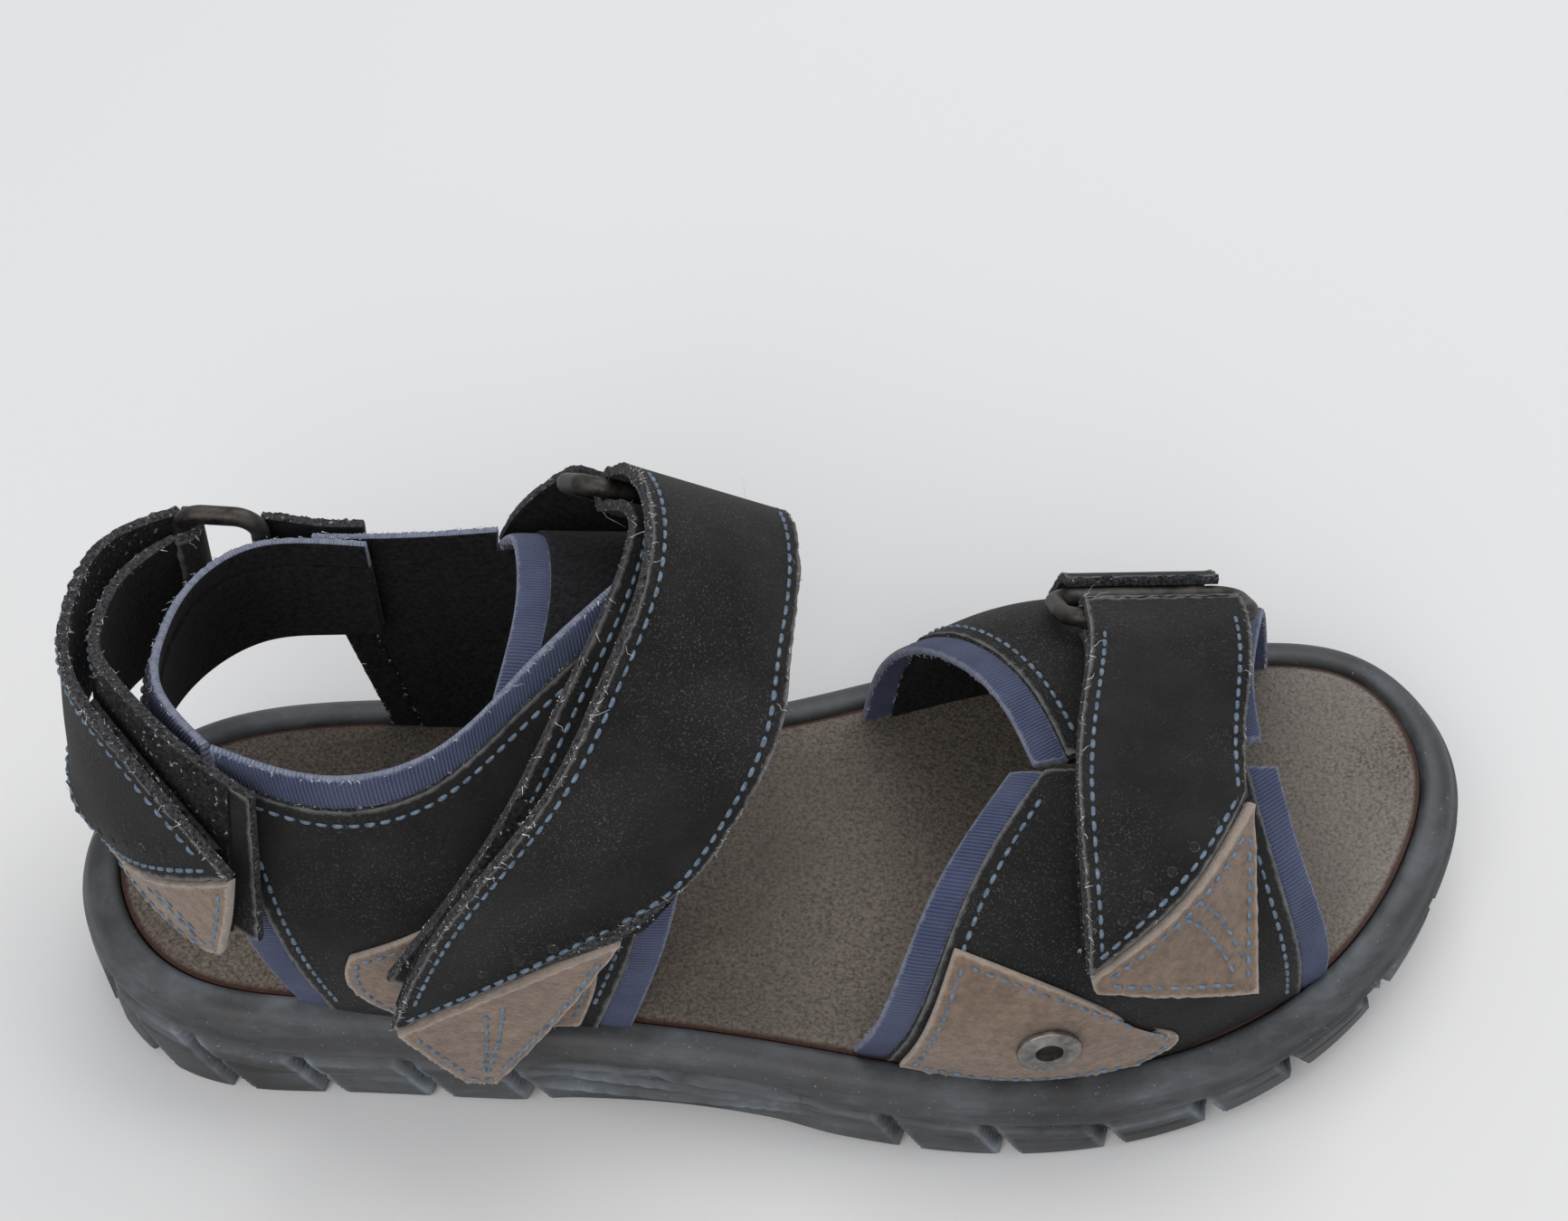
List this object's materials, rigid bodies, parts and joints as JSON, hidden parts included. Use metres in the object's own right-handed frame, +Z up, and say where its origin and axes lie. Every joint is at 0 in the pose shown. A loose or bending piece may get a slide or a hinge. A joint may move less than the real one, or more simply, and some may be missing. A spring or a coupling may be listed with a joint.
{
  "type": "strappy sport sandal",
  "caption": "Right-foot open sport sandal: moulded rubber sole, suede footbed, nubuck upper, three hook-and-loop straps turned back through wire rings.",
  "frame": {"origin": "centre of the heel tread's contact area, on the floor", "axes": "+X towards the toe, +Y towards the inner (medial) side, +Z up; the outer (lateral) side is -Y"},
  "size_m": [0.2985, 0.1196, 0.1334],
  "materials": {
    "tread_rubber": "matte",
    "rim_rubber": "satin, scuffed",
    "shank_steel": "bare",
    "insole_board": "pressed fibre",
    "footbed_foam": "closed-cell foam",
    "footbed_suede": "worn suede",
    "lining_textile": "brushed textile",
    "elastic_binding": "ribbed elastic",
    "hook_and_loop": "hook and loop pile",
    "brown_suede": "suede",
    "dark_wire": "worn dark coating",
    "eyelet_metal": "antiqued",
    "strap_nubuck": "nubuck",
    "upper_nubuck": "nubuck"
  },
  "bodies": {
    "root": {"outsole": "tread_rubber", "midsole": "rim_rubber", "shank": "shank_steel", "insole_board": "insole_board", "footbed_foam": "footbed_foam", "footbed_cover": "footbed_suede", "lateral_quarter": "upper_nubuck", "lateral_quarter_lining": "lining_textile", "lateral_collar_binding": "elastic_binding", "lateral_rear_binding": "elastic_binding", "lateral_front_binding": "elastic_binding", "lateral_suede_patch": "brown_suede", "heel_band": "upper_nubuck", "heel_band_lining": "lining_textile", "heel_collar_binding": "elastic_binding", "medial_quarter": "upper_nubuck", "medial_quarter_lining": "lining_textile", "medial_collar_binding": "elastic_binding", "medial_front_binding": "elastic_binding", "medial_rear_binding": "elastic_binding", "throat_panel": "upper_nubuck", "throat_panel_lining": "lining_textile", "throat_binding": "elastic_binding", "lateral_vamp": "upper_nubuck", "lateral_vamp_lining": "lining_textile", "lateral_vamp_rear_binding": "elastic_binding", "lateral_vamp_front_binding": "elastic_binding", "medial_vamp": "upper_nubuck", "medial_vamp_lining": "lining_textile", "medial_vamp_rear_binding": "elastic_binding", "medial_vamp_front_binding": "elastic_binding", "eyelet_patch": "brown_suede", "eyelet": "eyelet_metal", "eyelet_washer": "eyelet_metal", "instep_base_strap": "strap_nubuck", "instep_loop_pad": "hook_and_loop", "instep_ring_tab": "strap_nubuck", "forefoot_base_strap": "strap_nubuck", "forefoot_loop_pad": "hook_and_loop", "forefoot_ring_tab": "strap_nubuck", "heel_base_strap": "strap_nubuck", "heel_loop_pad": "hook_and_loop", "heel_ring_tab": "strap_nubuck"},
    "instep_ring_body": {"instep_ring": "dark_wire", "instep_fold": "strap_nubuck"},
    "instep_flap_body": {"instep_flap": "strap_nubuck", "instep_flap_tip": "brown_suede", "instep_hook_pad": "hook_and_loop"},
    "forefoot_ring_body": {"forefoot_ring": "dark_wire", "forefoot_fold": "strap_nubuck"},
    "forefoot_flap_body": {"forefoot_flap": "strap_nubuck", "forefoot_flap_tip": "brown_suede", "forefoot_hook_pad": "hook_and_loop"},
    "heel_ring_body": {"heel_ring": "dark_wire", "heel_fold": "strap_nubuck"},
    "heel_flap_body": {"heel_flap": "strap_nubuck", "heel_flap_tip": "brown_suede", "heel_hook_pad": "hook_and_loop"}
  },
  "joints": [
    {"name": "instep_ring_lift", "type": "hinge", "parent": "root", "child": "instep_ring_body", "pos_m": [0.08122, 0.03952, 0.08871], "axis": [-0.8745, -0.0503, 0.4825], "range_deg": [0, 25], "deforming": ["instep_fold"]},
    {"name": "instep_flap_open", "type": "hinge", "parent": "instep_ring_body", "child": "instep_flap_body", "pos_m": [0.0875, 0.029, 0.099], "axis": [-0.8745, -0.0503, 0.4825], "range_deg": [0, 110], "deforming": ["instep_fold"]},
    {"name": "forefoot_ring_lift", "type": "hinge", "parent": "root", "child": "forefoot_ring_body", "pos_m": [0.18395, 0.03114, 0.06139], "axis": [-0.9982, 0, 0.0599], "range_deg": [0, 25], "deforming": ["forefoot_fold"]},
    {"name": "forefoot_flap_open", "type": "hinge", "parent": "forefoot_ring_body", "child": "forefoot_flap_body", "pos_m": [0.1845, 0.018, 0.0705], "axis": [-0.9982, 0, 0.0599], "range_deg": [0, 110], "deforming": ["forefoot_fold"]},
    {"name": "heel_ring_lift", "type": "hinge", "parent": "root", "child": "heel_ring_body", "pos_m": [-0.00061, 0.04269, 0.06993], "axis": [-0.0597, 0.0796, -0.995], "range_deg": [0, 25], "deforming": ["heel_fold"]},
    {"name": "heel_flap_open", "type": "hinge", "parent": "heel_ring_body", "child": "heel_flap_body", "pos_m": [-0.0165, 0.0442, 0.071], "axis": [-0.0597, 0.0796, -0.995], "range_deg": [0, 110], "deforming": ["heel_fold"]}
  ]
}
